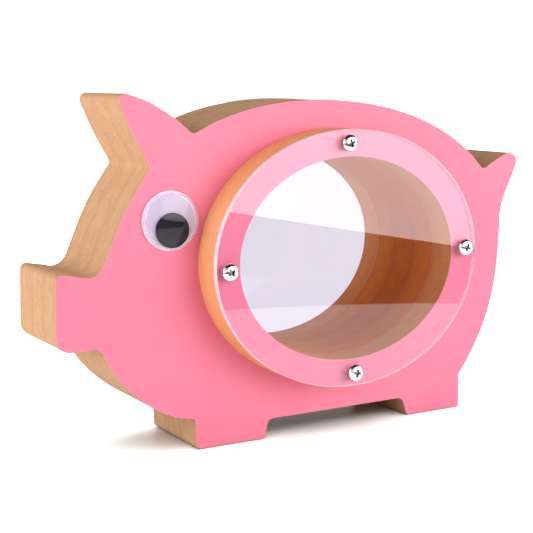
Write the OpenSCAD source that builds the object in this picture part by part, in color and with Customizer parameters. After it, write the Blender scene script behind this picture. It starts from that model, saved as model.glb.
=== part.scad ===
// Pig-shaped money box: three glued MDF boards with an oval coin tunnel right through them,
// closed on both sides by a clear pane that four screws hold on a raised ring.
// The snout points along -X, the front faces -Y, and the feet stand on Z = 0. Millimetres.

/* [Boards] */
// Thickness of each of the three MDF boards
board_t = 15; // [12:1:18]
// Thickness of the pink film on every board and ring
film_t = 0.4; // [0.3:0.1:0.8]
// Height at which the film stops above the soles of the feet
film_trim = 0.4; // [0.2:0.1:1]

/* [Window] */
// Half width of the oval tunnel
tunnel_rx = 52; // [46:1:54]
// Half height of the oval tunnel
tunnel_rz = 43.5; // [38:0.5:45]
// Width of the ring round the tunnel
ring_w = 11.5; // [10:0.5:12]
// Distance of the tunnel's centre behind the middle of the pig
tunnel_x = 13.5; // [11:0.5:16]
// Height of the tunnel's centre above the floor
tunnel_z = 77.5; // [76:0.5:79]
// Thickness of the front ring's board
front_ring_t = 15; // [12:1:18]
// Thickness of the back ring's board
back_ring_t = 12; // [12:1:18]
// Thickness of the clear panes
pane_t = 3; // [2:0.5:4]
// Gap that lets a pane lift off its ring
seat_gap = 0.1; // [0.05:0.05:0.3]

/* [Coin slot] */
// Length of the slot in the pig's back
slot_l = 38; // [34:1:42]
// Width of the slot, cut into the front of the middle board
slot_w = 5; // [4.5:0.5:6]

/* [Screws] */
// Diameter of the shank
shank_d = 3.5; // [3:0.1:4]
// Length of the screw under its head
shank_l = 13; // [10:1:15]
// Diameter of the pan head
head_d = 7.2; // [6.5:0.1:8]
// Height of the pan head
head_h = 2.4; // [2:0.1:3]
// Radial clearance of the shank in the ring
shank_gap = 0.05; // [0.02:0.01:0.1]
// Diameter of the holes in the panes and in the ring's film
pane_hole_d = 4.3; // [4.1:0.1:4.6]

/* [Eyes] */
// Diameter of an eye
eye_d = 25; // [20:1:28]
// Height of the clear dome above the eye's base
dome_h = 4.6; // [4:0.2:6]
// Height of the dome's upright side, below its shallow cap
dome_side_h = 2.2; // [2:0.1:2.6]
// Thickness of the eye's white base
eye_base_t = 0.8; // [0.6:0.1:1.5]
// Diameter of the loose pupil
pupil_d = 14.5; // [12:0.5:15]
// Thickness of the loose pupil
pupil_t = 1.2; // [1:0.1:1.6]
// Angle at which the pupil hangs, from straight down towards the tail
pupil_angle = 9; // [0:1:30]

/* [Hidden] */

MDF = [0.84, 0.66, 0.46];
PINK = [0.99, 0.54, 0.67];
CLEAR = [0.93, 0.95, 0.98, 0.35];
CHROME = [0.80, 0.81, 0.83];
WHITE = [0.95, 0.94, 0.97];
BLACK = [0.05, 0.05, 0.06];

// Planes along Y, counted from the middle of the three boards
pitch = board_t + film_t;
front_y = -1.5 * pitch - film_t / 2;
back_y = -front_y;
front_ring_y = front_y - front_ring_t;
back_ring_y = back_y + back_ring_t;
front_seat_y = front_ring_y - film_t;
back_seat_y = back_ring_y + film_t;
front_pane_y = front_seat_y - seat_gap - pane_t;
back_pane_y = back_seat_y + seat_gap + pane_t;
// Back face of the front board, which closes the coin slot's groove
groove_y = -pitch / 2 - film_t / 2;

ring_rx = tunnel_rx + ring_w;
ring_rz = tunnel_rz + ring_w;
pilot_d = shank_d + 2 * shank_gap;
// The screws stand on the middle of the ring: top, rear, bottom, snout side
SCREWS = [for (a = [90, 0, -90, 180])
    [tunnel_x + (tunnel_rx + ring_w / 2) * cos(a), tunnel_z + (tunnel_rz + ring_w / 2) * sin(a)]];
// How far each screw happens to be turned, in the same order
FRONT_TURNS = [20, 65, 80, 35];
BACK_TURNS = [50, 10, 75, 30];

// The eye stands on the face at this place
EYE = [-62, 98.5];
eye_wall = 0.4;
eye_rim = 0.6;
dome_side_r = eye_d / 2 - eye_rim;
cavity_r = dome_side_r - eye_wall;
pupil_play = 0.2;
pupil_swing = cavity_r - pupil_d / 2 - pupil_play;
// The dome's cap is a slice of this ball
cap_h = dome_h - dome_side_h;
cap_r = (dome_side_r * dome_side_r + cap_h * cap_h) / (2 * cap_h);

// Corners of the pig's outline as [x, z], with the rounding of the corner and, where a curve
// and not a straight edge leads to the next corner, the two handles of that curve
CORNERS = [
    [[-112, 80.6],   2.5, [-105.5, 80], [-100, 78]],      // top of the snout
    [[-93.5, 78],    8,   [-83, 99.5],  [-84.5, 101]],    // foot of the forehead
    [[-69, 120.8],   3,   [-74, 129.5], [-80, 141]],      // between forehead and ear
    [[-82, 151.2],   2.8, [-71, 150.5], [-56.5, 141]],    // tip of the ear
    [[-49.8, 132.8], 3,   [-13, 154],   [67.5, 148]],     // behind the ear
    [[95, 108.8],    2.5, [101, 113.5], [107.5, 116]],    // before the tail
    [[114, 116.6],   4.5, [113.5, 105], [105.5, 99]],     // tip of the tail
    [[104, 88],      0,   [102.5, 59],  [99, 39.5]],      // root of the tail
    [[79.6, 15.2],   2,   undef,        undef],           // above the rear foot
    [[79.3, 0],      1.5, undef,        undef],
    [[51.2, 0],      2,   undef,        undef],
    [[48.6, 8.6],    3,   undef,        undef],           // arch between the feet
    [[-19.4, 8.6],   3,   undef,        undef],
    [[-21.8, 0],     2,   undef,        undef],
    [[-53.9, 0],     2.5, undef,        undef],
    [[-53.9, 14],    1.5, [-67.5, 12.5], [-93.5, 34.5]],  // belly
    [[-93.3, 48.6],  4,   undef,        undef],           // under the chin
    [[-113.6, 48.6], 6,   undef,        undef]];            // bottom of the snout

// Length of one step along a curve, and angle of one step round a corner
curve_step = 5;
corner_step = 15;
// Room between a rounding and the first point of the curve beside it
curve_gap = 1.5;
oval_steps = 120;
floor_margin = 10;

function unit(v) = v / norm(v);

function bezier(a, h, k, b, n) = [for (i = [1:n - 1]) let (t = i / n, s = 1 - t)
    s * s * s * a + 3 * s * s * t * h + 3 * s * t * t * k + t * t * t * b];

function next(i) = (i + 1) % len(CORNERS);
function before(i) = (i + len(CORNERS) - 1) % len(CORNERS);

// Directions in which the outline leaves corner i, forwards and backwards
function onward(i) = let (c = CORNERS[i])
    unit((is_undef(c[2]) ? CORNERS[next(i)][0] : c[2]) - c[0]);
function backward(i) = let (c = CORNERS[i], last = CORNERS[before(i)])
    unit((is_undef(last[3]) ? last[0] : last[3]) - c[0]);

// Half the angle inside corner i, and how far its rounding reaches along the outline
function half_angle(i) = acos(onward(i) * backward(i)) / 2;
function reach(i) = CORNERS[i][1] / tan(half_angle(i));

// The arc that rounds corner i, from its backward side to its onward side
function corner_arc(i) =
    let (p = CORNERS[i][0], r = CORNERS[i][1], u = backward(i), v = onward(i),
         centre = p + unit(u + v) * r / sin(half_angle(i)),
         first = p + u * reach(i) - centre, last = p + v * reach(i) - centre,
         start = atan2(first[1], first[0]), turn = atan2(last[1], last[0]) - start,
         sweep = turn > 180 ? turn - 360 : turn < -180 ? turn + 360 : turn,
         n = ceil(abs(sweep) / corner_step))
    [for (k = [0:n]) centre + r * [cos(start + sweep * k / n), sin(start + sweep * k / n)]];

// The points of the curve that follows corner i, clear of the roundings at its ends
function edge_points(i) =
    let (c = CORNERS[i], end = CORNERS[next(i)][0])
    is_undef(c[2]) ? [] :
    [for (p = bezier(c[0], c[2], c[3], end, round(norm(end - c[0]) / curve_step)))
        if (norm(p - c[0]) > reach(i) + curve_gap && norm(p - end) > reach(next(i)) + curve_gap) p];

PIG = [for (i = [0:len(CORNERS) - 1])
    each concat(CORNERS[i][1] == 0 ? [CORNERS[i][0]] : corner_arc(i), edge_points(i))];
PIG_X = [for (p = PIG) p[0]];
PIG_TOP = max([for (p = PIG) p[1]]);

// The origin is under the middle of the whole box. The boards' middle lies off Y = 0, because
// the front ring is the thicker one.
ORIGIN = [(min(PIG_X) + max(PIG_X)) / 2, (front_pane_y + back_pane_y) / 2, 0];

// An oval round the tunnel's axis
function oval(rx, rz) = [for (i = [0:oval_steps - 1]) let (a = 360 * i / oval_steps)
    [tunnel_x + rx * cos(a), tunnel_z + rz * sin(a)]];

// Extrudes a flat outline, drawn in X and Z, from y0 to y1
module sheet(y0, y1) {
    translate([0, y1, 0]) rotate([90, 0, 0]) linear_extrude(y1 - y0) children();
}

module pig_outline() {
    difference() {
        polygon(PIG);
        polygon(oval(tunnel_rx, tunnel_rz));
    }
}

module film_outline() {
    difference() {
        pig_outline();
        translate([min(PIG_X), -floor_margin])
            square([max(PIG_X) - min(PIG_X), floor_margin + film_trim]);
    }
}

module ring_outline() {
    difference() {
        polygon(oval(ring_rx, ring_rz));
        polygon(oval(tunnel_rx, tunnel_rz));
    }
}

// Round holes along Y at the four screws, from y0 to y1
module screw_holes(d, y0, y1) {
    for (s = SCREWS)
        translate([s[0], y1, s[1]]) rotate([90, 0, 0]) cylinder(h = y1 - y0, d = d, $fn = 48);
}

// The coin slot's groove in the front of the middle board, from its film down into the tunnel
module coin_groove() {
    translate([tunnel_x - slot_l / 2, groove_y - film_t, tunnel_z])
        cube([slot_l, slot_w + film_t, PIG_TOP]);
}

module board(middle) {
    sheet(middle - board_t / 2, middle + board_t / 2) pig_outline();
}

module film(y0) {
    sheet(y0, y0 + film_t) film_outline();
}

module ring(y0, y1) {
    difference() {
        sheet(y0, y1) ring_outline();
        screw_holes(pilot_d, y0 - 1, y1 + 1);
    }
}

module ring_film(y0) {
    difference() {
        sheet(y0, y0 + film_t) ring_outline();
        screw_holes(pane_hole_d, y0 - 1, y0 + film_t + 1);
    }
}

module pane(y0) {
    difference() {
        sheet(y0, y0 + pane_t) polygon(oval(ring_rx, ring_rz));
        screw_holes(pane_hole_d, y0 - 1, y0 + pane_t + 1);
    }
}

// A pan-head screw along +Z: its tip at the bottom, the seat of its head at Z = 0
module screw() {
    tip_h = 2.5;
    tip_r = 0.4;
    crown_r = 1.3;
    recess_l = 4.2;
    recess_w = 1;
    recess_h = 1.5;
    r = head_d / 2;
    difference() {
        rotate_extrude($fn = 48) polygon(concat(
            [[0, -shank_l], [tip_r, -shank_l], [shank_d / 2, -shank_l + tip_h], [shank_d / 2, 0], [r, 0]],
            [for (a = [0:15:90]) [r - crown_r + crown_r * cos(a), head_h - crown_r + crown_r * sin(a)]],
            [[0, head_h]]));
        for (turn = [0, 90]) rotate(turn)
            translate([-recess_l / 2, -recess_w / 2, head_h - recess_h])
                cube([recess_l, recess_w, recess_h + 1]);
    }
}

// A screw in place on the front or the back; n counts round the ring from its top
module front_screw(n) {
    translate([SCREWS[n][0], front_pane_y - seat_gap, SCREWS[n][1]])
        rotate([90, 0, 0]) rotate(FRONT_TURNS[n]) screw();
}

module back_screw(n) {
    translate([SCREWS[n][0], back_pane_y + seat_gap, SCREWS[n][1]])
        rotate([-90, 0, 0]) rotate(BACK_TURNS[n]) screw();
}

// The eye's parts stand along +Z on the face
module eye_base() {
    cylinder(h = eye_base_t, d = eye_d, $fn = 96);
}

// An arc of the cap's ball of radius r about a point centre_z up, from its top out to reach_r
function cap_arc(r, centre_z, reach_r, steps) = [for (i = [0:steps]) let (a = asin(reach_r / r) * i / steps)
    [r * sin(a), centre_z + r * cos(a)]];

// A shallow cap on an upright side, with a flat rim round its foot
module eye_dome() {
    steps = 12;
    centre_z = eye_base_t + dome_h - cap_r;
    inside = cap_arc(cap_r - eye_wall, centre_z, cavity_r, steps);
    rotate_extrude($fn = 96) polygon(concat(
        cap_arc(cap_r, centre_z, dome_side_r, steps),
        [[dome_side_r, eye_base_t + eye_wall], [eye_d / 2, eye_base_t + eye_wall],
         [eye_d / 2, eye_base_t], [cavity_r, eye_base_t]],
        [for (i = [steps:-1:0]) inside[i]]));
}

module pupil() {
    lift = 0.15;
    translate([0, -pupil_swing, eye_base_t + lift]) cylinder(h = pupil_t, d = pupil_d, $fn = 64);
}

// Stands the eye's parts on the front or the back of the head
module on_front() {
    translate([EYE[0], front_y, EYE[1]]) rotate([90, 0, 0]) children();
}

module on_back() {
    translate([EYE[0], back_y, EYE[1]]) mirror([0, 1, 0]) rotate([90, 0, 0]) children();
}

module place() {
    translate(-ORIGIN) children();
}

module front_board() { color(MDF) place() board(-pitch); }

module middle_board() {
    color(MDF) place() difference() {
        board(0);
        coin_groove();
    }
}

module back_board() { color(MDF) place() board(pitch); }

module front_face_film() { color(PINK) place() film(front_y); }

module middle_board_film() {
    color(PINK) place() difference() {
        film(-pitch / 2 - film_t / 2);
        coin_groove();
    }
}

module back_board_film() { color(PINK) place() film(pitch / 2 - film_t / 2); }

module back_face_film() { color(PINK) place() film(back_y - film_t); }

module front_ring() { color(MDF) place() ring(front_ring_y, front_y); }

module front_ring_film() { color(PINK) place() ring_film(front_seat_y); }

module back_ring() { color(MDF) place() ring(back_y, back_ring_y); }

module back_ring_film() { color(PINK) place() ring_film(back_ring_y); }

module front_window() { color(CLEAR) place() pane(front_pane_y); }

module back_window() { color(CLEAR) place() pane(back_seat_y + seat_gap); }

module front_screw_top() { color(CHROME) place() front_screw(0); }
module front_screw_rear() { color(CHROME) place() front_screw(1); }
module front_screw_bottom() { color(CHROME) place() front_screw(2); }
module front_screw_snout() { color(CHROME) place() front_screw(3); }

module back_screw_top() { color(CHROME) place() back_screw(0); }
module back_screw_rear() { color(CHROME) place() back_screw(1); }
module back_screw_bottom() { color(CHROME) place() back_screw(2); }
module back_screw_snout() { color(CHROME) place() back_screw(3); }

module front_eye_base() { color(WHITE) place() on_front() eye_base(); }
module front_eye_dome() { color(CLEAR) place() on_front() eye_dome(); }
module front_pupil() { color(BLACK) place() on_front() rotate(pupil_angle) pupil(); }

module back_eye_base() { color(WHITE) place() on_back() eye_base(); }
module back_eye_dome() { color(CLEAR) place() on_back() eye_dome(); }
module back_pupil() { color(BLACK) place() on_back() rotate(-pupil_angle) pupil(); }

front_board();
middle_board();
back_board();
front_face_film();
middle_board_film();
back_board_film();
back_face_film();
front_ring();
front_ring_film();
back_ring();
back_ring_film();
front_window();
back_window();
front_screw_top();
front_screw_rear();
front_screw_bottom();
front_screw_snout();
back_screw_top();
back_screw_rear();
back_screw_bottom();
back_screw_snout();
front_eye_base();
front_eye_dome();
front_pupil();
back_eye_base();
back_eye_dome();
back_pupil();
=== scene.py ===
"""Pig-shaped money box: three pink-faced MDF boards with a see-through oval coin tunnel.

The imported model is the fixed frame. Each class below builds one sub-assembly around it: the boards
and rings, the clear panes, the screws that hold them, and the stick-on eyes. All lengths are in
metres, with the snout along -X, the front facing -Y and the feet standing on Z = 0.
"""

import logging
import math
from dataclasses import dataclass, field
from enum import Enum
from typing import Callable

import bpy
from mathutils import Matrix, Vector


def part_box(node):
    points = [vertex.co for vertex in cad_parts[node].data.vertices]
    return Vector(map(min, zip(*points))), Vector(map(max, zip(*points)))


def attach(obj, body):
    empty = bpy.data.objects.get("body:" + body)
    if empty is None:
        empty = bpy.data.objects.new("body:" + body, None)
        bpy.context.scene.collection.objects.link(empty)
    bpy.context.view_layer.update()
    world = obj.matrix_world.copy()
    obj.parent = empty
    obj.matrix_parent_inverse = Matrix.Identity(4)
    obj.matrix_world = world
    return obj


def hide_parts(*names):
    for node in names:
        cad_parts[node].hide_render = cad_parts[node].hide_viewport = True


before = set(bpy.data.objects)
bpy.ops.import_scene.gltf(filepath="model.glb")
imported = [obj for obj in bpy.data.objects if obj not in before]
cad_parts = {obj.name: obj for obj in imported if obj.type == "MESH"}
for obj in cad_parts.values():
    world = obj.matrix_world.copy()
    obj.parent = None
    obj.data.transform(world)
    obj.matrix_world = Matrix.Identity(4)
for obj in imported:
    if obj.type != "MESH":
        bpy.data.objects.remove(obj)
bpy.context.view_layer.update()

LOG = logging.getLogger("money_box")
MM = 0.001
MERGE_DISTANCE = 1e-6
FLAT_NORMAL = 0.999                 # a face lies in a board's plane if its normal's Y passes this
FLAT_TURN = math.radians(0.4)       # faces that differ by less than this become one
SHARP_TURN = math.radians(40)       # edges that turn by more than this are eased
Profile = list[tuple[float, float]]
Colour = tuple[float, float, float]


class Side(Enum):
    """The two faces of the pig, each with the sign of its outward direction along Y."""

    FRONT = -1
    BACK = 1

    @property
    def word(self) -> str:
        """The side's name as the nodes spell it."""
        return self.name.lower()


class Corner(Enum):
    """The four screws of a pane, named by where they sit on the ring."""

    TOP = "top"
    REAR = "rear"
    BOTTOM = "bottom"
    SNOUT = "snout"


# ---------------------------------------------------------------------------------------------
# Modelling helpers
# ---------------------------------------------------------------------------------------------


def new_object(name: str, data: bpy.types.ID) -> bpy.types.Object:
    """Makes an object and puts it in the scene.

    Args:
        name: The object's name.
        data: Its mesh, light or camera.

    Returns:
        The object.
    """
    made = bpy.data.objects.new(name, data)
    bpy.context.scene.collection.objects.link(made)
    return made


def take_up(piece: bpy.types.Object) -> None:
    """Makes a piece the only selected and active object.

    Args:
        piece: The object that the next operators act on.
    """
    bpy.ops.object.select_all(action="DESELECT")
    piece.select_set(True)
    bpy.context.view_layer.objects.active = piece


def edit(piece: bpy.types.Object, work: Callable[[], None]) -> None:
    """Runs some edit-mode work on a piece with all of it selected.

    Args:
        piece: The mesh object to work on.
        work: A function that calls edit-mode operators.
    """
    take_up(piece)
    bpy.ops.object.mode_set(mode="EDIT")
    bpy.ops.mesh.select_all(action="SELECT")
    work()
    bpy.ops.object.mode_set(mode="OBJECT")


def smooth(piece: bpy.types.Object, degrees: float = 25.0) -> None:
    """Shades a piece smooth, apart from edges sharper than an angle.

    Args:
        piece: The mesh object.
        degrees: Edges that turn by more than this stay sharp.
    """
    take_up(piece)
    bpy.ops.object.shade_smooth_by_angle(angle=math.radians(degrees))


def flatten_faces(piece: bpy.types.Object) -> None:
    """Shades the large faces along a board's planes flat, so that nothing wavers in them.

    Args:
        piece: A piece cut from sheet, with its faces square to Y.
    """
    for polygon in piece.data.polygons:
        if abs(polygon.normal.y) > FLAT_NORMAL:
            polygon.use_smooth = False


def settle(piece: bpy.types.Object) -> None:
    """Moves a piece's place into its mesh, so that its object sits at the origin.

    Args:
        piece: The finished object.
    """
    take_up(piece)
    bpy.ops.object.transform_apply(location=True, rotation=True, scale=True)


def carve_from_node(node: str, name: str, ease: float, segments: int = 2) -> bpy.types.Object:
    """Copies a CAD node, welds its triangles and eases its sharp edges.

    Args:
        node: The CAD node to copy.
        name: The new piece's name.
        ease: Width of the eased edge.
        segments: Number of steps across the eased edge.

    Returns:
        The new piece, standing where the node stands.
    """
    piece = new_object(name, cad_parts[node].data.copy())
    piece.data.materials.clear()

    def work() -> None:
        """Welds the loose triangles into flat faces and bevels what is sharp."""
        bpy.ops.mesh.remove_doubles(threshold=MERGE_DISTANCE)
        bpy.ops.mesh.dissolve_limited(angle_limit=FLAT_TURN)
        bpy.ops.mesh.select_all(action="DESELECT")
        bpy.ops.mesh.select_mode(type="EDGE")
        bpy.ops.mesh.edges_select_sharp(sharpness=SHARP_TURN)
        bpy.ops.mesh.bevel(offset=ease, offset_type="OFFSET", segments=segments, clamp_overlap=True)

    edit(piece, work)
    smooth(piece)
    flatten_faces(piece)
    return piece


def turn(name: str, profile: Profile, segments: int) -> bpy.types.Object:
    """Turns a profile round +Z, ring by ring, as on a lathe.

    Args:
        name: The new piece's name.
        profile: Radius and height of each ring, from the first filled end to the last one.
        segments: Number of sides round the axis.

    Returns:
        A closed mesh object at the origin.
    """
    radius, height = profile[0]
    bpy.ops.mesh.primitive_circle_add(
        vertices=segments, radius=radius, fill_type="NGON", location=(0, 0, height)
    )
    piece = bpy.context.active_object
    piece.name = name
    piece.data.name = name
    settle(piece)

    def work() -> None:
        """Extrudes the rim once for each further ring, and closes the last one."""
        bpy.ops.mesh.select_mode(type="EDGE")
        bpy.ops.mesh.select_all(action="DESELECT")
        bpy.ops.mesh.select_non_manifold()
        last_radius, last_height = radius, height
        for ring_radius, ring_height in profile[1:]:
            bpy.ops.mesh.extrude_region_move(
                TRANSFORM_OT_translate={"value": (0, 0, ring_height - last_height)}
            )
            grow = ring_radius / last_radius
            bpy.ops.transform.resize(value=(grow, grow, 1), center_override=(0, 0, ring_height))
            last_radius, last_height = ring_radius, ring_height
        bpy.ops.mesh.edge_face_add()
        bpy.ops.mesh.select_all(action="SELECT")
        bpy.ops.mesh.normals_make_consistent(inside=False)

    edit(piece, work)
    return piece


def arc(centre: tuple[float, float], radius: float, start: float, end: float,
        steps: int) -> Profile:
    """Points of an arc in a turned profile.

    Args:
        centre: Radius and height of the arc's centre.
        radius: Radius of the arc.
        start: Angle of the first point, in degrees from straight outwards.
        end: Angle of the last point.
        steps: Number of steps between them.

    Returns:
        The points in order.
    """
    angles = [math.radians(start + (end - start) * i / steps) for i in range(steps + 1)]
    return [(centre[0] + radius * math.cos(a), centre[1] + radius * math.sin(a)) for a in angles]


def stand(piece: bpy.types.Object, place: Vector, side: Side, roll: float = 0.0) -> None:
    """Stands a piece that was made along +Z on a face of the pig, pointing outwards.

    Args:
        piece: The piece, made round the origin.
        place: Where its origin goes.
        side: The face that it points out of.
        roll: Turn about its own axis first, in degrees.
    """
    tilt = Matrix.Rotation(math.radians(-90 * side.value), 4, "X")
    spin = Matrix.Rotation(math.radians(roll), 4, "Z")
    piece.matrix_world = Matrix.Translation(place) @ tilt @ spin
    settle(piece)


def hand_over(piece: bpy.types.Object, body: str, node: str) -> None:
    """Rides a piece on its body in place of its CAD node and reports it.

    Args:
        piece: The finished piece.
        body: The CAD body that carries it.
        node: The CAD node that it stands for.
    """
    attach(piece, body)
    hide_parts(node)
    LOG.info("%s: %d faces, rides on %s", piece.name, len(piece.data.polygons), body)


# ---------------------------------------------------------------------------------------------
# Shader groups that several finishes share
# ---------------------------------------------------------------------------------------------


class Bench:
    """A node tree with short ways to add and join nodes."""

    MIX_INPUTS = (0, 6, 7)      # factor, first colour and second colour of a Mix node
    MIX_RESULT = 2

    def __init__(self, tree: bpy.types.NodeTree) -> None:
        """Keeps the tree.

        Args:
            tree: The node tree to build in.
        """
        self.tree = tree

    def add(self, kind: str, **settings: object) -> bpy.types.Node:
        """Adds a node.

        Args:
            kind: The node's type, without its ShaderNode prefix.
            settings: Its properties.

        Returns:
            The new node.
        """
        node = self.tree.nodes.new("ShaderNode" + kind)
        for key, value in settings.items():
            setattr(node, key, value)
        return node

    def feed(self, socket: bpy.types.NodeSocket, value: object) -> None:
        """Links a socket into an input, or sets a plain value on it.

        Args:
            socket: The input.
            value: An output socket, a number or a colour.
        """
        if isinstance(value, bpy.types.NodeSocket):
            self.tree.links.new(value, socket)
        elif isinstance(value, tuple) and len(value) == 3 and socket.type == "RGBA":
            socket.default_value = (*value, 1.0)
        else:
            socket.default_value = value

    def sum(self, operation: str, *values: object) -> bpy.types.NodeSocket:
        """A Math node.

        Args:
            operation: Its operation.
            values: Its inputs, in order.

        Returns:
            Its output.
        """
        node = self.add("Math", operation=operation)
        for socket, value in zip(node.inputs, values):
            self.feed(socket, value)
        return node.outputs[0]

    def spread(self, value: object, low: float, high: float, to_low: float = 0.0,
               to_high: float = 1.0) -> bpy.types.NodeSocket:
        """A clamped Map Range node.

        Args:
            value: The input.
            low: Input that gives to_low.
            high: Input that gives to_high.
            to_low: Output at low.
            to_high: Output at high.

        Returns:
            Its output.
        """
        node = self.add("MapRange")
        for socket, given in zip(node.inputs, (value, low, high, to_low, to_high)):
            self.feed(socket, given)
        return node.outputs[0]

    def blend(self, share: object, first: object, second: object,
              mode: str = "MIX") -> bpy.types.NodeSocket:
        """A colour Mix node.

        Args:
            share: How much of the second colour.
            first: The first colour.
            second: The second colour.
            mode: Blending mode.

        Returns:
            The mixed colour.
        """
        node = self.add("Mix", data_type="RGBA", blend_type=mode)
        for index, value in zip(self.MIX_INPUTS, (share, first, second)):
            self.feed(node.inputs[index], value)
        return node.outputs[self.MIX_RESULT]

    def noise(self, vector: object, scale: object, detail: float = 2.0,
              roughness: float = 0.5) -> bpy.types.NodeSocket:
        """A Noise Texture's value.

        Args:
            vector: The coordinates.
            scale: Its scale, in features a metre.
            detail: Its detail.
            roughness: Its roughness.

        Returns:
            The value output.
        """
        node = self.add("TexNoise")
        given = {"Vector": vector, "Scale": scale, "Detail": detail, "Roughness": roughness}
        for label, value in given.items():
            self.feed(node.inputs[label], value)
        return node.outputs["Fac"]

    def mapped(self, vector: object, scale: tuple[float, float, float]) -> bpy.types.NodeSocket:
        """Coordinates stretched by a Mapping node.

        Args:
            vector: The coordinates.
            scale: The scale along each axis.

        Returns:
            The stretched coordinates.
        """
        node = self.add("Mapping")
        self.feed(node.inputs["Vector"], vector)
        node.inputs["Scale"].default_value = scale
        return node.outputs["Vector"]


def new_group(name: str, inputs: dict[str, tuple[str, float]],
              outputs: dict[str, str]) -> tuple[Bench, dict, dict]:
    """Starts a shader node group.

    Args:
        name: The group's name.
        inputs: Each input's socket type and default.
        outputs: Each output's socket type.

    Returns:
        A bench for its tree, the sockets that its inputs give, and those that its outputs take.
    """
    tree = bpy.data.node_groups.new(name, "ShaderNodeTree")
    for label, (kind, default) in inputs.items():
        socket = tree.interface.new_socket(label, in_out="INPUT", socket_type="NodeSocket" + kind)
        if kind == "Float":
            socket.default_value = default
    for label, kind in outputs.items():
        tree.interface.new_socket(label, in_out="OUTPUT", socket_type="NodeSocket" + kind)
    given = tree.nodes.new("NodeGroupInput")
    taken = tree.nodes.new("NodeGroupOutput")
    return Bench(tree), dict(given.outputs.items()), dict(taken.inputs.items())


def make_fibre_group() -> bpy.types.NodeTree:
    """Pressed wood fibre on a cut edge: streaks along the board, flecks and slow mottling.

    Returns:
        The group, with Streaks, Flecks, Mottle and Height outputs.
    """
    bench, given, taken = new_group(
        "pressed_fibre",
        {"Vector": ("Vector", 0.0)},
        {"Streaks": "Float", "Flecks": "Float", "Mottle": "Float", "Height": "Float"},
    )
    place = given["Vector"]
    streaks = bench.noise(place, 1000.0, 3.0, 0.6)
    cloth = bench.noise(place, 1500.0, 3.0, 0.65)
    fleck = bench.noise(bench.mapped(place, (900.0, 1200.0, 900.0)), 1.0, 2.0, 0.5)
    mottle = bench.noise(bench.mapped(place, (170.0, 300.0, 170.0)), 1.0, 3.0, 0.6)
    bench.feed(taken["Streaks"], streaks)
    bench.feed(taken["Flecks"], bench.spread(fleck, 0.62, 0.74))
    bench.feed(taken["Mottle"], mottle)
    bench.feed(taken["Height"], bench.sum("ADD", bench.sum("MULTIPLY", streaks, 0.6), cloth))
    return bench.tree


def make_peel_group() -> bpy.types.NodeTree:
    """The skin of a coated film: fine rounded pits, and a slow waviness under them.

    Returns:
        The group, with Height and Tone outputs.
    """
    bench, given, taken = new_group(
        "film_peel",
        {"Vector": ("Vector", 0.0), "Pits": ("Float", 1100.0)},
        {"Height": "Float", "Tone": "Float"},
    )
    pits = bench.noise(given["Vector"], given["Pits"], 2.5, 0.6)
    wave = bench.noise(given["Vector"], 320.0, 1.0, 0.5)
    tone = bench.noise(given["Vector"], 28.0, 3.0, 0.55)
    height = bench.sum("ADD", pits, bench.sum("MULTIPLY", wave, 0.5))
    bench.feed(taken["Height"], height)
    bench.feed(taken["Tone"], bench.sum("ADD", bench.sum("MULTIPLY", tone, 0.6),
                                        bench.sum("MULTIPLY", pits, 0.4)))
    return bench.tree


def make_facing_group() -> bpy.types.NodeTree:
    """A mask of the faces that lie along the boards' planes, and not on a cut edge.

    Returns:
        The group, with a Face output: 1 on a board's face, 0 on its edge.
    """
    bench, given, taken = new_group(
        "lies_on_face", {"Normal": ("Vector", 0.0)}, {"Face": "Float"}
    )
    parts = bench.add("SeparateXYZ")
    bench.feed(parts.inputs["Vector"], given["Normal"])
    bench.feed(taken["Face"], bench.spread(bench.sum("ABSOLUTE", parts.outputs["Y"]), 0.55, 0.9))
    return bench.tree


@dataclass(frozen=True)
class SharedGroups:
    """The shader groups that the finishes place in their materials."""

    fibre: bpy.types.NodeTree = field(default_factory=make_fibre_group)
    peel: bpy.types.NodeTree = field(default_factory=make_peel_group)
    facing: bpy.types.NodeTree = field(default_factory=make_facing_group)


# ---------------------------------------------------------------------------------------------
# Finishes
# ---------------------------------------------------------------------------------------------

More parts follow.
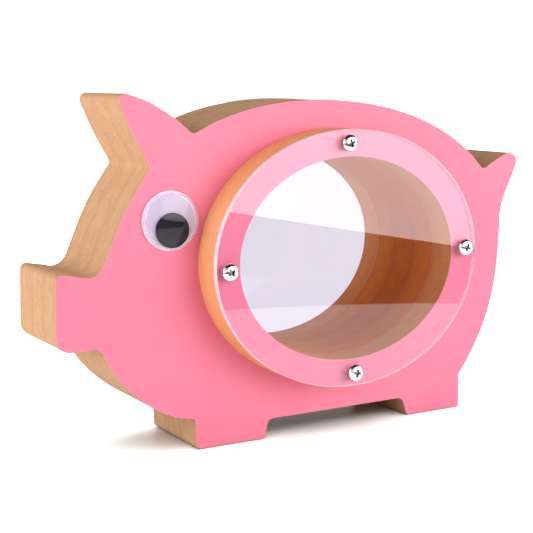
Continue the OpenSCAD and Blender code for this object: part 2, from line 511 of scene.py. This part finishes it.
class Dress:
    """A material in the making: its bench, its main shader and its coordinates."""

    def __init__(self, name: str) -> None:
        """Starts a material with one Principled shader.

        Args:
            name: The material's name.
        """
        self.material = bpy.data.materials.new(name)
        self.material.use_nodes = True
        self.bench = Bench(self.material.node_tree)
        self.shader = self.material.node_tree.nodes["Principled BSDF"]
        self.output = self.material.node_tree.nodes["Material Output"]
        self.texture = self.bench.add("TexCoord")
        self.place = self.texture.outputs["Object"]

    def set(self, **values: object) -> None:
        """Sets or links inputs of the main shader.

        Args:
            values: Input names with _ for spaces, and their values.
        """
        for label, value in values.items():
            self.bench.feed(self.shader.inputs[label.replace("_", " ")], value)

    def group(self, tree: bpy.types.NodeTree, **values: object) -> bpy.types.Node:
        """Places a shader group in the material.

        Args:
            tree: The group.
            values: Its inputs.

        Returns:
            The group node.
        """
        node = self.bench.add("Group", node_tree=tree)
        for label, value in values.items():
            self.bench.feed(node.inputs[label], value)
        return node

    def bump(self, height: object, strength: float, distance: float) -> None:
        """Feeds a Bump node into the main shader's normal.

        Args:
            height: The height, from 0 to about 1.
            strength: Strength of the bump.
            distance: Depth that a height of 1 stands for.
        """
        node = self.bench.add("Bump")
        self.bench.feed(node.inputs["Height"], height)
        node.inputs["Strength"].default_value = strength
        node.inputs["Distance"].default_value = distance
        self.bench.feed(self.shader.inputs["Normal"], node.outputs["Normal"])

    def let_lamps_through(self, tint: Colour) -> None:
        """Lets light pass a clear piece unbent, so that what is behind it is lit.

        Args:
            tint: What the piece lets through.
        """
        path = self.bench.add("LightPath")
        clear = self.bench.add("BsdfTransparent")
        self.bench.feed(clear.inputs["Color"], tint)
        either = self.bench.sum("MAXIMUM", path.outputs["Is Shadow Ray"],
                                path.outputs["Is Diffuse Ray"])
        mix = self.bench.add("MixShader")
        self.bench.feed(mix.inputs[0], either)
        self.bench.feed(mix.inputs[1], self.shader.outputs[0])
        self.bench.feed(mix.inputs[2], clear.outputs[0])
        self.bench.feed(self.output.inputs["Surface"], mix.outputs[0])


@dataclass(frozen=True)
class BareMdf:
    """Cut and sealed edge of MDF, a little darker and denser towards a board's two faces."""

    name: str
    middle_y: float
    half: float
    light: Colour = (0.82, 0.485, 0.27)
    dark: Colour = (0.50, 0.265, 0.135)
    fleck: Colour = (0.40, 0.21, 0.10)
    streak_share: float = 0.30
    mottle_share: float = 0.36
    dense_share: float = 0.20
    fleck_share: float = 0.3

    def material(self, groups: SharedGroups) -> bpy.types.Material:
        """Builds the finish for a board whose middle and half thickness are given.

        Args:
            groups: The shared shader groups.

        Returns:
            The material.
        """
        dress = Dress(self.name)
        bench = dress.bench
        fibre = dress.group(groups.fibre, Vector=dress.place)
        parts = bench.add("SeparateXYZ")
        bench.feed(parts.inputs["Vector"], dress.place)
        off_middle = bench.sum("SUBTRACT", parts.outputs["Y"], self.middle_y)
        depth = bench.sum("DIVIDE", bench.sum("ABSOLUTE", off_middle), self.half)
        dense = bench.spread(depth, 0.55, 1.0, 0.0, self.dense_share)
        streak = bench.spread(fibre.outputs["Streaks"], 0.32, 0.72)
        mottle = bench.spread(fibre.outputs["Mottle"], 0.30, 0.75)
        share = bench.sum("ADD", bench.sum("MULTIPLY", streak, self.streak_share),
                          bench.sum("MULTIPLY", mottle, self.mottle_share))
        share = bench.sum("ADD", share, dense)
        tan = bench.blend(share, self.light, self.dark)
        flecked = bench.sum("MULTIPLY", fibre.outputs["Flecks"], self.fleck_share)
        colour = bench.blend(flecked, tan, self.fleck)
        rough = bench.spread(fibre.outputs["Streaks"], 0.3, 0.7, 0.62, 0.78)
        dress.set(Base_Color=colour, Roughness=rough, Specular_IOR_Level=0.12)
        dress.bump(fibre.outputs["Height"], 0.35, 0.12 * MM)
        return dress.material


# The outer wall of a ring is painted warmer and brighter than its bore, as painted light falling on
# it
RIM_LIT_TONES = {"light": (1.0, 0.49, 0.225), "dark": (0.82, 0.355, 0.15)}
# The wall of a ring's own bore is painted darker than bare board, as painted shade at the tunnel's
# mouth, though it stays closer to bare board than the boards' bore
RING_BORE_SHADE_TONES = {"light": (0.78, 0.36, 0.145), "dark": (0.56, 0.23, 0.08)}
# The wall of the tunnel in the boards is painted a deep dark amber, as painted shade inside the
# tunnel
BORE_SHADE_TONES = {"light": (0.80, 0.295, 0.065), "dark": (0.58, 0.17, 0.03)}
# In the tunnel the cut edges of the films are painted a deeper, darker red, as painted shade; the
# front one is the brightest red
BORE_FILM_SHADE_TONES = {
    "front_face_film": (0.90, 0.08, 0.16),
    "middle_board_film": (0.50, 0.13, 0.13),
    "back_board_film": (0.50, 0.13, 0.13),
}


@dataclass(frozen=True)
class PinkFilm:
    """Satin pink film with a fine orange-peel skin; its cut edge shows a paler core."""

    name: str = "pink_film"
    pink: Colour = (1.0, 0.240, 0.372)
    deep: Colour = (0.97, 0.200, 0.322)
    core: Colour = (0.80, 0.475, 0.375)

    def material(self, groups: SharedGroups) -> bpy.types.Material:
        """Builds the film.

        Args:
            groups: The shared shader groups.

        Returns:
            The material.
        """
        dress = Dress(self.name)
        bench = dress.bench
        peel = dress.group(groups.peel, Vector=dress.place)
        facing = dress.group(groups.facing, Normal=dress.texture.outputs["Normal"])
        tone = bench.spread(peel.outputs["Tone"], 0.35, 0.65)
        skin = bench.blend(tone, self.deep, self.pink)
        colour = bench.blend(facing.outputs["Face"], self.core, skin)
        rough = bench.spread(peel.outputs["Height"], 0.5, 1.0, 0.36, 0.46)
        dress.set(Base_Color=colour, Roughness=rough, Specular_IOR_Level=0.5)
        dress.bump(peel.outputs["Height"], 0.5, 0.10 * MM)
        return dress.material


@dataclass(frozen=True)
class ClearSheet:
    """Clear cast sheet, glassy on its faces."""

    name: str = "clear_sheet"
    tint: Colour = (0.94, 0.915, 0.98)
    rough: float = 0.0
    index: float = 1.49
    share: float = 1.0
    passed: Colour = (0.99, 0.985, 0.985)

    def material(self) -> bpy.types.Material:
        """Builds the clear finish.

        Returns:
            The material.
        """
        dress = Dress(self.name)
        dress.set(Base_Color=self.tint, Roughness=self.rough, IOR=self.index,
                  Transmission_Weight=self.share)
        dress.let_lamps_through(self.passed)
        return dress.material


@dataclass(frozen=True)
class PlatedScrew:
    """Bright plated steel, with the faint unevenness of a tumbled and plated head."""

    name: str = "plated_screw"
    steel: Colour = (0.74, 0.72, 0.72)
    dull: Colour = (0.50, 0.485, 0.485)
    smoothest: float = 0.06
    roughest: float = 0.2

    def material(self, groups: SharedGroups) -> bpy.types.Material:
        """Builds the plating.

        Args:
            groups: The shared shader groups.

        Returns:
            The material.
        """
        dress = Dress(self.name)
        bench = dress.bench
        peel = dress.group(groups.peel, Vector=dress.place, Pits=2600.0)
        tone = bench.spread(peel.outputs["Tone"], 0.3, 0.7)
        rough = bench.spread(peel.outputs["Tone"], 0.3, 0.7, self.smoothest, self.roughest)
        colour = bench.blend(tone, self.steel, self.dull)
        dress.set(Base_Color=colour, Roughness=rough, Metallic=1.0)
        dress.bump(peel.outputs["Height"], 0.12, 0.05 * MM)
        return dress.material


@dataclass(frozen=True)
class MouldedPlastic:
    """Opaque moulded plastic, for the white cup and the black pupil of an eye."""

    name: str
    colour: Colour
    shade: Colour
    rough: float
    coat: float
    gloss: float

    def material(self, groups: SharedGroups) -> bpy.types.Material:
        """Builds the plastic.

        Args:
            groups: The shared shader groups.

        Returns:
            The material.
        """
        dress = Dress(self.name)
        bench = dress.bench
        peel = dress.group(groups.peel, Vector=dress.place, Pits=900.0)
        tone = bench.spread(peel.outputs["Tone"], 0.3, 0.7)
        rough = bench.spread(peel.outputs["Tone"], 0.3, 0.7, self.rough, self.rough * 1.3)
        dress.set(Base_Color=bench.blend(tone, self.shade, self.colour), Roughness=rough,
                  Coat_Weight=self.coat, Coat_Roughness=0.06, Specular_IOR_Level=self.gloss)
        dress.bump(peel.outputs["Height"], 0.08, 0.05 * MM)
        return dress.material


SHEET_EDGE = ClearSheet("sheet_edge", (1.0, 0.95, 0.98), rough=0.4, share=0.2)
DOME_CLEAR = ClearSheet("dome_clear", (0.98, 0.96, 1.0), index=1.25)
# The eye's cup is painted a darker lavender grey, as painted shade under the dome, and its outer
# band lighter, as painted light
EYE_WHITE = MouldedPlastic("eye_white", colour=(0.68, 0.585, 0.75), shade=(0.62, 0.525, 0.70),
                           rough=0.22, coat=0.35, gloss=0.5)
EYE_RIM_LIT = MouldedPlastic("eye_rim", colour=(0.86, 0.76, 0.93), shade=(0.80, 0.70, 0.88),
                         rough=0.3, coat=0.3, gloss=0.5)
PUPIL_BLACK = MouldedPlastic("pupil_black", colour=(0.013, 0.011, 0.019),
                             shade=(0.008, 0.007, 0.012), rough=0.45, coat=0.0, gloss=0.1)
# The cross recess is painted dark, as painted shade in the hollow
SCREW_RECESS_SHADE = PlatedScrew("screw_recess_shade", steel=(0.30, 0.28, 0.28), dull=(0.12, 0.11, 0.11),
                           smoothest=0.28, roughest=0.5)


# ---------------------------------------------------------------------------------------------
# Sub-assemblies
# ---------------------------------------------------------------------------------------------


@dataclass
class LayeredBody:
    """The glued body: three boards, two rings, and the film on every layer."""

    groups: SharedGroups
    board_ease: float = 0.22 * MM
    film_ease: float = 0.10 * MM
    ring_width: float = 11.5 * MM
    bore_margin: float = 1.02
    boards: tuple[str, ...] = (
        "front_board", "middle_board", "back_board", "front_ring", "back_ring",
    )
    films: tuple[str, ...] = (
        "front_face_film", "middle_board_film", "back_board_film", "back_face_film",
        "front_ring_film", "back_ring_film",
    )

    def build(self) -> None:
        """Makes every board, ring and film."""
        for node in self.boards:
            low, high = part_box(node)
            middle, half = (low.y + high.y) / 2, (high.y - low.y) / 2
            piece = carve_from_node(node, node + "_mdf", self.board_ease)
            ring = "ring" in node
            # A ring's outer wall is painted lighter, as painted light, and every bore darker, as
            # painted shade
            outside = RIM_LIT_TONES if ring else {}
            inside = RING_BORE_SHADE_TONES if ring else BORE_SHADE_TONES
            for name, tones in (("cut_", outside), ("bore_", inside)):
                finish = BareMdf(name + node, middle, half, **tones)
                piece.data.materials.append(finish.material(self.groups))
            self.paint_tunnel_shade(piece)
            hand_over(piece, "pig_body", node)
        film = PinkFilm().material(self.groups)
        # The films' cut edges in the tunnel get darker cores, as painted shade
        films_in_shade = {node: PinkFilm("film_in_" + node, core=tone).material(self.groups)
                   for node, tone in BORE_FILM_SHADE_TONES.items()}
        for node in self.films:
            piece = carve_from_node(node, node + "_skin", self.film_ease)
            piece.data.materials.append(film)
            if node in films_in_shade:
                piece.data.materials.append(films_in_shade[node])
                self.paint_tunnel_shade(piece)
            hand_over(piece, "pig_body", node)

    def paint_tunnel_shade(self, piece: bpy.types.Object) -> None:
        """Gives the second finish, painted shade, to the wall of the tunnel.

        Args:
            piece: A board, a ring or a film.
        """
        low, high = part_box("front_ring")
        middle, reach = (low + high) / 2, (high - low) / 2
        for polygon in piece.data.polygons:
            across = (polygon.center.x - middle.x) / (reach.x - self.ring_width)
            upward = (polygon.center.z - middle.z) / (reach.z - self.ring_width)
            polygon.material_index = 1 if math.hypot(across, upward) < self.bore_margin else 0


@dataclass
class Pane:
    """A clear pane with a frosted, slightly eased rim and four screw holes."""

    side: Side
    face: bpy.types.Material
    edge: bpy.types.Material
    ease: float = 0.25 * MM
    ease_steps: int = 3
    face_normal: float = 0.9

    def build(self) -> None:
        """Makes the pane, with its rim in the edge finish."""
        node = self.side.word + "_window"
        piece = carve_from_node(node, self.side.word + "_pane", self.ease, self.ease_steps)
        piece.data.materials.append(self.face)
        piece.data.materials.append(self.edge)
        for polygon in piece.data.polygons:
            polygon.material_index = 0 if abs(polygon.normal.y) > self.face_normal else 1
        hand_over(piece, node, node)


@dataclass
class PanScrew:
    """A pan-head cross-recess screw: turned head, cut recess and a rolled thread."""

    finish: bpy.types.Material
    recess_shade_finish: bpy.types.Material
    head_radius: float = 3.6 * MM
    head_height: float = 2.4 * MM
    head_rounding: float = 0.15 * MM
    skirt: float = 0.7 * MM
    dome_steps: int = 10
    dome_fullness: tuple[float, float] = (0.8, 0.9)
    shank_radius: float = 1.75 * MM
    shank_length: float = 13 * MM
    tip_length: float = 2.5 * MM
    thread_pitch: float = 1.3 * MM
    thread_depth: float = 0.42 * MM
    thread_steepness: float = 2.6
    thread_start: float = 0.6
    point_share: float = 0.12
    recess_width: float = 1.3 * MM
    recess_length: float = 5.0 * MM
    recess_depth: float = 1.5 * MM
    recess_taper: tuple[float, float] = (0.36, 0.62)
    sides: int = 48
    shank_sides: int = 20
    shank_rings: int = 92

    def pattern(self) -> bpy.types.Object:
        """Makes one screw along +Z with the seat of its head at the origin.

        Returns:
            The finished pattern, to be copied.
        """
        head = self.head()
        head.data.materials.append(self.finish)
        self.cut_recess(head)
        shank = self.shank()
        shank.data.materials.append(self.finish)
        take_up(head)
        shank.select_set(True)
        bpy.ops.object.join()
        smooth(head, 40)
        return head

    def head(self) -> bpy.types.Object:
        """Turns the pan head.

        Returns:
            The head, a closed solid.
        """
        rounding = self.head_rounding
        profile = [(self.shank_radius * 0.8, 0.0)]
        profile += arc((self.head_radius - rounding, rounding), rounding, -90, 0, 3)
        dome = self.head_height - self.skirt
        wide, high = self.dome_fullness
        for i in range(self.dome_steps):
            angle = math.radians(90 * i / self.dome_steps)
            profile.append((self.head_radius * math.cos(angle) ** wide,
                            self.skirt + dome * math.sin(angle) ** high))
        profile.append((self.head_radius * 0.05, self.head_height))
        return turn("screw_head", profile, self.sides)

    def cut_recess(self, head: bpy.types.Object) -> None:
        """Cuts the tapering cross recess into the head.

        Args:
            head: The turned head.
        """
        blades = []
        above = 1 * MM
        bottom = self.head_height - self.recess_depth
        for quarter in (0, 90):
            bpy.ops.mesh.primitive_cube_add(size=1)
            blade = bpy.context.active_object
            blade.scale = (self.recess_length, self.recess_width, self.recess_depth + above)
            blade.location = (0, 0, self.head_height - (self.recess_depth - above) / 2)
            settle(blade)
            for vertex in blade.data.vertices:
                if abs(vertex.co.z - bottom) < MERGE_DISTANCE:
                    vertex.co.x *= self.recess_taper[0]
                    vertex.co.y *= self.recess_taper[1]
            blade.rotation_euler.z = math.radians(quarter)
            settle(blade)
            # The recess walls take the dark finish, as painted shade
            blade.data.materials.append(self.recess_shade_finish)
            blades.append(blade)
        for blade in blades:
            cut = head.modifiers.new("recess", "BOOLEAN")
            cut.operation = "DIFFERENCE"
            cut.solver = "EXACT"
            cut.material_mode = "TRANSFER"
            cut.object = blade
            take_up(head)
            bpy.ops.object.modifier_apply(modifier=cut.name)
            bpy.data.objects.remove(blade)

    def shank(self) -> bpy.types.Object:
        """Turns the shank and rolls its thread, which fades out under the head.

        Returns:
            The threaded shank with its pointed tip.
        """
        rings = self.shank_rings
        length = self.shank_length
        heights = [-length + length * i / rings for i in range(rings + 1)]
        profile = [(self.shank_radius, height) for height in heights]
        shank = turn("screw_shank", profile, self.shank_sides)
        core = self.shank_radius - self.thread_depth
        for vertex in shank.data.vertices:
            x, y, z = vertex.co
            angle = math.atan2(y, x)
            along = (z / self.thread_pitch - angle / math.tau) % 1.0
            crest = max(0.0, 1.0 - abs(along - 0.5) * self.thread_steepness)
            taper = min(1.0, (z + length) / self.tip_length)
            fade = min(1.0, max(0.0, -z / self.thread_pitch - self.thread_start))
            bare = core * (self.point_share + (1 - self.point_share) * taper)
            ridge = self.thread_depth * crest * fade * (0.3 + 0.7 * taper)
            scale = (bare + ridge) / max(math.hypot(x, y), MERGE_DISTANCE)
            vertex.co.x *= scale
            vertex.co.y *= scale
        return shank


@dataclass
class PaneScrews:
    """The four screws of one pane, each a copy of the pattern, turned as it happens to sit."""

    side: Side
    pattern: bpy.types.Object
    head_height: float
    rolls: dict[Corner, float]

    def build(self) -> None:
        """Places a copy of the pattern at each corner of the pane."""
        for corner in Corner:
            node = f"{self.side.word}_screw_{corner.value}"
            low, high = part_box(node)
            centre = (low + high) / 2
            outer = low.y if self.side is Side.FRONT else high.y
            seat = outer - self.side.value * self.head_height
            piece = new_object(node + "_plated", self.pattern.data.copy())
            stand(piece, Vector((centre.x, seat, centre.z)), self.side, self.rolls[corner])
            hand_over(piece, node, node)


@dataclass
class StickOnEye:
    """A stick-on eye: a white base, a clear dome and a loose black pupil."""

    side: Side
    base_finish: bpy.types.Material
    lit_rim_finish: bpy.types.Material
    dome_finish: bpy.types.Material
    pupil_finish: bpy.types.Material
    wall: float = 0.4 * MM
    rim: float = 0.6 * MM
    lit_band_width: float = 1.5 * MM
    side_height: float = 2.2 * MM
    shoulder: float = 0.9 * MM
    cap_steps: int = 14
    segments: int = 96
    pupil_segments: int = 64

    def build(self) -> None:
        """Makes the base, the dome and the pupil."""
        self.make_base()
        self.make_dome()
        self.make_pupil()

    def seat(self, node: str) -> tuple[Vector, float, float]:
        """Where a turned part of the eye sits.

        Args:
            node: The CAD node of the part.

        Returns:
            The middle of its inner face, its radius and its height.
        """
        low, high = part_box(node)
        inner = high.y if self.side is Side.FRONT else low.y
        place = Vector(((low.x + high.x) / 2, inner, (low.z + high.z) / 2))
        return place, (high.x - low.x) / 2, high.y - low.y

    def make_base(self) -> None:
        """Turns the white base, with a softly rounded edge and a flat floor."""
        node = self.side.word + "_eye_base"
        place, radius, height = self.seat(node)
        soft = 0.3 * MM
        profile = [(radius * 0.5, 0.0), (radius - soft * 0.5, 0.0)]
        profile += arc((radius - soft, height - soft), soft, 0, 90, 4)
        profile += [(radius - self.lit_band_width, height), (radius * 0.1, height)]
        piece = turn(node + "_cup", profile, self.segments)
        piece.data.materials.append(self.base_finish)
        piece.data.materials.append(self.lit_rim_finish)
        # The outer band takes the lighter finish, as painted light; the middle keeps the darker one,
        # as painted shade under the dome
        for polygon in piece.data.polygons:
            reach = math.hypot(polygon.center.x, polygon.center.y)
            polygon.material_index = 1 if reach > radius - self.lit_band_width else 0
        smooth(piece)
        stand(piece, place, self.side)
        hand_over(piece, "pig_body", node)

    def make_dome(self) -> None:
        """Turns the clear dome: a flange, an upright side, a rounded shoulder and a shallow cap."""
        node = self.side.word + "_eye_dome"
        place, radius, height = self.seat(node)
        outer = radius - self.rim
        wall = self.wall
        inside = self.shell(outer - wall, height - wall, self.shoulder - wall)
        profile = inside[::-1]
        profile += [(outer - wall, 0.0), (radius, 0.0), (radius, wall * 0.7),
                    (radius - wall * 0.3, wall), (outer + wall * 0.2, wall)]
        profile += self.shell(outer, height, self.shoulder)
        piece = turn(node + "_shell", profile, self.segments)
        piece.data.materials.append(self.dome_finish)
        smooth(piece, 35)
        stand(piece, place, self.side)
        hand_over(piece, "pig_body", node)

    def shell(self, outer: float, height: float, shoulder: float) -> Profile:
        """Profile of one skin of the dome, from the foot of its side to near its top.

        Args:
            outer: Radius of the upright side.
            height: Height of the cap's middle.
            shoulder: Radius of the rounding between side and cap.

        Returns:
            The profile's points.
        """
        rise = height - self.side_height
        ball = (outer * outer + rise * rise) / (2 * rise)
        centre_z = height - ball
        reach = math.asin((outer - shoulder * 0.7) / ball)
        tilts = [reach * (1 - i / self.cap_steps) for i in range(self.cap_steps)]
        cap = [(ball * math.sin(tilt), centre_z + ball * math.cos(tilt)) for tilt in tilts]
        foot = [(outer, self.wall * 1.5), (outer, self.side_height - shoulder * 0.6)]
        bend = [(outer - shoulder * 0.06, self.side_height - shoulder * 0.25),
                (outer - shoulder * 0.28, self.side_height + shoulder * 0.02)]
        return foot + bend + cap + [(ball * math.sin(reach * 0.02), height)]

    def make_pupil(self) -> None:
        """Turns the loose pupil, a disc with rounded edges and a slightly hollow face."""
        node = self.side.word + "_pupil"
        place, radius, height = self.seat(node)
        soft = 0.25 * MM
        profile = [(radius * 0.4, 0.0)] + arc((radius - soft, soft), soft, -90, 0, 4)
        profile += arc((radius - soft, height - soft), soft, 0, 90, 4)
        profile += [(radius * 0.8, height - 0.04 * MM), (radius * 0.1, height - 0.06 * MM)]
        piece = turn(node + "_disc", profile, self.pupil_segments)
        piece.data.materials.append(self.pupil_finish)
        smooth(piece)
        stand(piece, place, self.side)
        hand_over(piece, node, node)


# ---------------------------------------------------------------------------------------------
# Camera, floor and light
# ---------------------------------------------------------------------------------------------


@dataclass(frozen=True)
class Viewpoint:
    """A camera given by where it stands and which way it looks."""

    place: tuple[float, float, float] = (-0.29534, -0.56854, 0.16549)
    azimuth: float = 26.88
    down: float = 8.38
    roll: float = -1.911
    lens: float = 98.07
    sensor_width: float = 36.0

    def build(self) -> None:
        """Makes the scene's camera."""
        turn_by, dip, lean = (math.radians(v) for v in (self.azimuth, self.down, self.roll))
        level = Vector((math.sin(turn_by), math.cos(turn_by), 0))
        ahead = level * math.cos(dip) - Vector((0, 0, math.sin(dip)))
        right = Vector((math.cos(turn_by), -math.sin(turn_by), 0))
        up = right.cross(ahead)
        across = math.cos(lean) * right + math.sin(lean) * up
        upward = math.cos(lean) * up - math.sin(lean) * right
        data = bpy.data.cameras.new("camera")
        data.lens = self.lens
        data.sensor_width = self.sensor_width
        data.clip_start = 0.01
        data.clip_end = 50
        camera = new_object("camera", data)
        camera.matrix_world = Matrix((
            (across.x, upward.x, -ahead.x, self.place[0]),
            (across.y, upward.y, -ahead.y, self.place[1]),
            (across.z, upward.z, -ahead.z, self.place[2]),
            (0, 0, 0, 1),
        ))
        bpy.context.scene.camera = camera


@dataclass(frozen=True)
class SoftBox:
    """A large area light, seen in glossy surfaces but not by the camera."""

    name: str
    place: tuple[float, float, float]
    target: tuple[float, float, float]
    size: tuple[float, float]
    radiance: float
    roll: float = 0.0
    mirrored: bool = True

    def build(self) -> bpy.types.Object:
        """Makes the light.

        Returns:
            The light's object.
        """
        data = bpy.data.lights.new(self.name, "AREA")
        data.shape = "RECTANGLE"
        data.size, data.size_y = self.size
        data.energy = self.radiance * math.pi * self.size[0] * self.size[1]
        light = new_object(self.name, data)
        look = Vector(self.target) - Vector(self.place)
        facing = look.to_track_quat("-Z", "Y").to_matrix().to_4x4()
        lean = Matrix.Rotation(math.radians(self.roll), 4, "Z")
        light.matrix_world = Matrix.Translation(self.place) @ facing @ lean
        light.visible_camera = False
        light.visible_glossy = self.mirrored
        light.visible_transmission = self.mirrored
        return light


SOFT_BOXES = (
    SoftBox("key", place=(0.54, -0.70, 0.31), target=(0.12, 0.0, 0.31), size=(1.15, 0.68),
            radiance=3.5, roll=-10.0),
    SoftBox("fill", place=(-0.62, -0.72, 0.16), target=(0.0, 0.0, 0.07), size=(0.5, 0.4),
            radiance=0.8),
    SoftBox("left", place=(-0.95, 0.0, 0.48), target=(-0.05, 0.0, 0.07), size=(0.8, 0.8),
            radiance=3.7),
    SoftBox("back", place=(0.30, 0.95, 0.15), target=(0.0, 0.0, 0.09), size=(1.0, 0.4),
            radiance=4.0, mirrored=False),
)


@dataclass(frozen=True)
class Studio:
    """A white table in a white room, with soft boxes to the front, left and back.

    In mirrors the room is dark below the horizon on the camera's side and overhead. Horizon,
    camera_side and overhead say where that dark begins and ends, as parts of a direction's length.
    """

    floor_size: float = 8.0
    floor_drop: float = 0.1 * MM
    shiny_radius: float = 0.37
    shiny_gloss: float = 0.16
    table_rough: float = 0.32
    table_light_strength: float = 9.0
    table_light_angle: float = 110.0
    table_light_tilt: float = 12.0
    floor_white: Colour = (0.92, 0.92, 0.92)
    floor_bounce: Colour = (0.29, 0.28, 0.28)
    # The floor's grey where it is seen through the panes is painted shade
    floor_shade_through_panes: Colour = (0.34, 0.34, 0.35)
    room_seen: float = 1.0
    room_fill: float = 0.10
    room_mirrored: float = 0.03
    horizon: tuple[float, float] = (-0.02, 0.0)
    camera_side: tuple[float, float] = (-0.70, -0.55)
    overhead: tuple[float, float] = (0.40, 0.65)

    def build(self) -> None:
        """Makes the floor, the room and the lights."""
        floors = self.floors()
        self.room()
        lights = [box.build() for box in SOFT_BOXES]
        self.table_light(floors)
        spared = bpy.data.collections.new("spared_by_soft_boxes")
        for part in floors:
            spared.objects.link(part)
        for entry in spared.collection_objects:
            entry.light_linking.link_state = "EXCLUDE"
        for light in lights:
            light.light_linking.receiver_collection = spared
        settings = bpy.context.scene.view_settings
        settings.view_transform = "Standard"
        settings.look = "None"

    def floors(self) -> list[bpy.types.Object]:
        """Makes the table top: a shiny middle, and round it a floor that no mirror sees.

        Returns:
            The two objects.
        """
        shiny = self.floor_finish("table_shiny", self.shiny_gloss)
        matt = self.floor_finish("table_matt", 0.0)
        bpy.ops.mesh.primitive_circle_add(vertices=96, radius=self.shiny_radius, fill_type="NGON")
        middle = bpy.context.active_object
        middle.name = "table_middle"
        bpy.ops.mesh.primitive_plane_add(size=self.floor_size, location=(0, 0, -self.floor_drop))
        wide = bpy.context.active_object
        wide.name = "floor"
        wide.visible_glossy = False
        wide.visible_transmission = False
        for part, finish in ((middle, shiny), (wide, matt)):
            part.data.materials.append(finish)
        return [middle, wide]

    def floor_finish(self, name: str, gloss: float) -> bpy.types.Material:
        """Builds a white floor that gives back only part of the light that it scatters.

        Args:
            name: The material's name.
            gloss: Its specular level.

        Returns:
            The material.
        """
        dress = Dress(name)
        bench = dress.bench
        path = bench.add("LightPath")
        share = bench.spread(path.outputs["Diffuse Depth"], 0, 1)
        # Seen through the panes the floor is painted grey, as painted shade for the light the panes
        # take
        behind = bench.spread(path.outputs["Transmission Depth"], 0, 1)
        direct = bench.blend(behind, self.floor_white, self.floor_shade_through_panes)
        white = bench.blend(share, direct, self.floor_bounce)
        dress.set(Base_Color=white, Roughness=self.table_rough, Specular_IOR_Level=gloss)
        return dress.material

    def table_light(self, floors: list[bpy.types.Object]) -> None:
        """Makes a very soft light from above that falls on the floor alone.

        Args:
            floors: The floor's objects.
        """
        data = bpy.data.lights.new("table_light", "SUN")
        data.energy = self.table_light_strength
        data.angle = math.radians(self.table_light_angle)
        light = new_object("table_light", data)
        light.rotation_euler = (math.radians(self.table_light_tilt), 0, 0)
        light.visible_glossy = False
        lit = bpy.data.collections.new("lit_by_table_light")
        for part in floors:
            lit.objects.link(part)
        light.light_linking.receiver_collection = lit

    def room(self) -> None:
        """Makes a room that is white to look at, fills shadows softly and is dim in mirrors."""
        world = bpy.data.worlds.new("room")
        bpy.context.scene.world = world
        world.use_nodes = True
        bench = Bench(world.node_tree)
        path = bench.add("LightPath")
        mirrored = bench.spread(path.outputs["Glossy Depth"], 0, 1)
        scattered = bench.spread(path.outputs["Diffuse Depth"], 0, 1)
        direction = bench.add("SeparateXYZ")
        bench.feed(direction.inputs["Vector"], bench.add("TexCoord").outputs["Generated"])
        above = bench.spread(direction.outputs["Z"], *self.horizon)
        aside = bench.spread(direction.outputs["Y"], *self.camera_side)
        below = bench.spread(direction.outputs["Z"], *self.overhead, 1.0, 0.0)
        white = bench.sum("MULTIPLY", bench.sum("MAXIMUM", above, aside), below)
        wall = bench.spread(white, 0, 1, self.room_mirrored, self.room_seen)
        seen = bench.spread(mirrored, 0, 1, self.room_seen, wall)
        strength = bench.spread(scattered, 0, 1, seen, self.room_fill)
        background = world.node_tree.nodes["Background"]
        background.inputs["Color"].default_value = (1.0, 1.0, 1.0, 1.0)
        bench.feed(background.inputs["Strength"], strength)


# How far each screw happens to be turned, in degrees
SCREW_ROLLS = {
    Side.FRONT: {Corner.TOP: 20.0, Corner.REAR: 65.0, Corner.BOTTOM: 80.0, Corner.SNOUT: 35.0},
    Side.BACK: {Corner.TOP: 50.0, Corner.REAR: 10.0, Corner.BOTTOM: 75.0, Corner.SNOUT: 30.0},
}


def main() -> None:
    """Builds the money box, the camera and the studio."""
    logging.basicConfig(level=logging.INFO, format="%(name)s: %(message)s")
    Viewpoint().build()
    groups = SharedGroups()
    LayeredBody(groups).build()

    sheet = ClearSheet().material()
    sheet_edge = SHEET_EDGE.material()
    dome = DOME_CLEAR.material()
    white = EYE_WHITE.material(groups)
    rim = EYE_RIM_LIT.material(groups)
    black = PUPIL_BLACK.material(groups)
    screw = PanScrew(PlatedScrew().material(groups), SCREW_RECESS_SHADE.material(groups))
    pattern = screw.pattern()
    for side in Side:
        Pane(side, sheet, sheet_edge).build()
        PaneScrews(side, pattern, screw.head_height, SCREW_ROLLS[side]).build()
        StickOnEye(side, white, rim, dome, black).build()
    bpy.data.objects.remove(pattern)

    Studio().build()


if __name__ == "__main__":
    main()
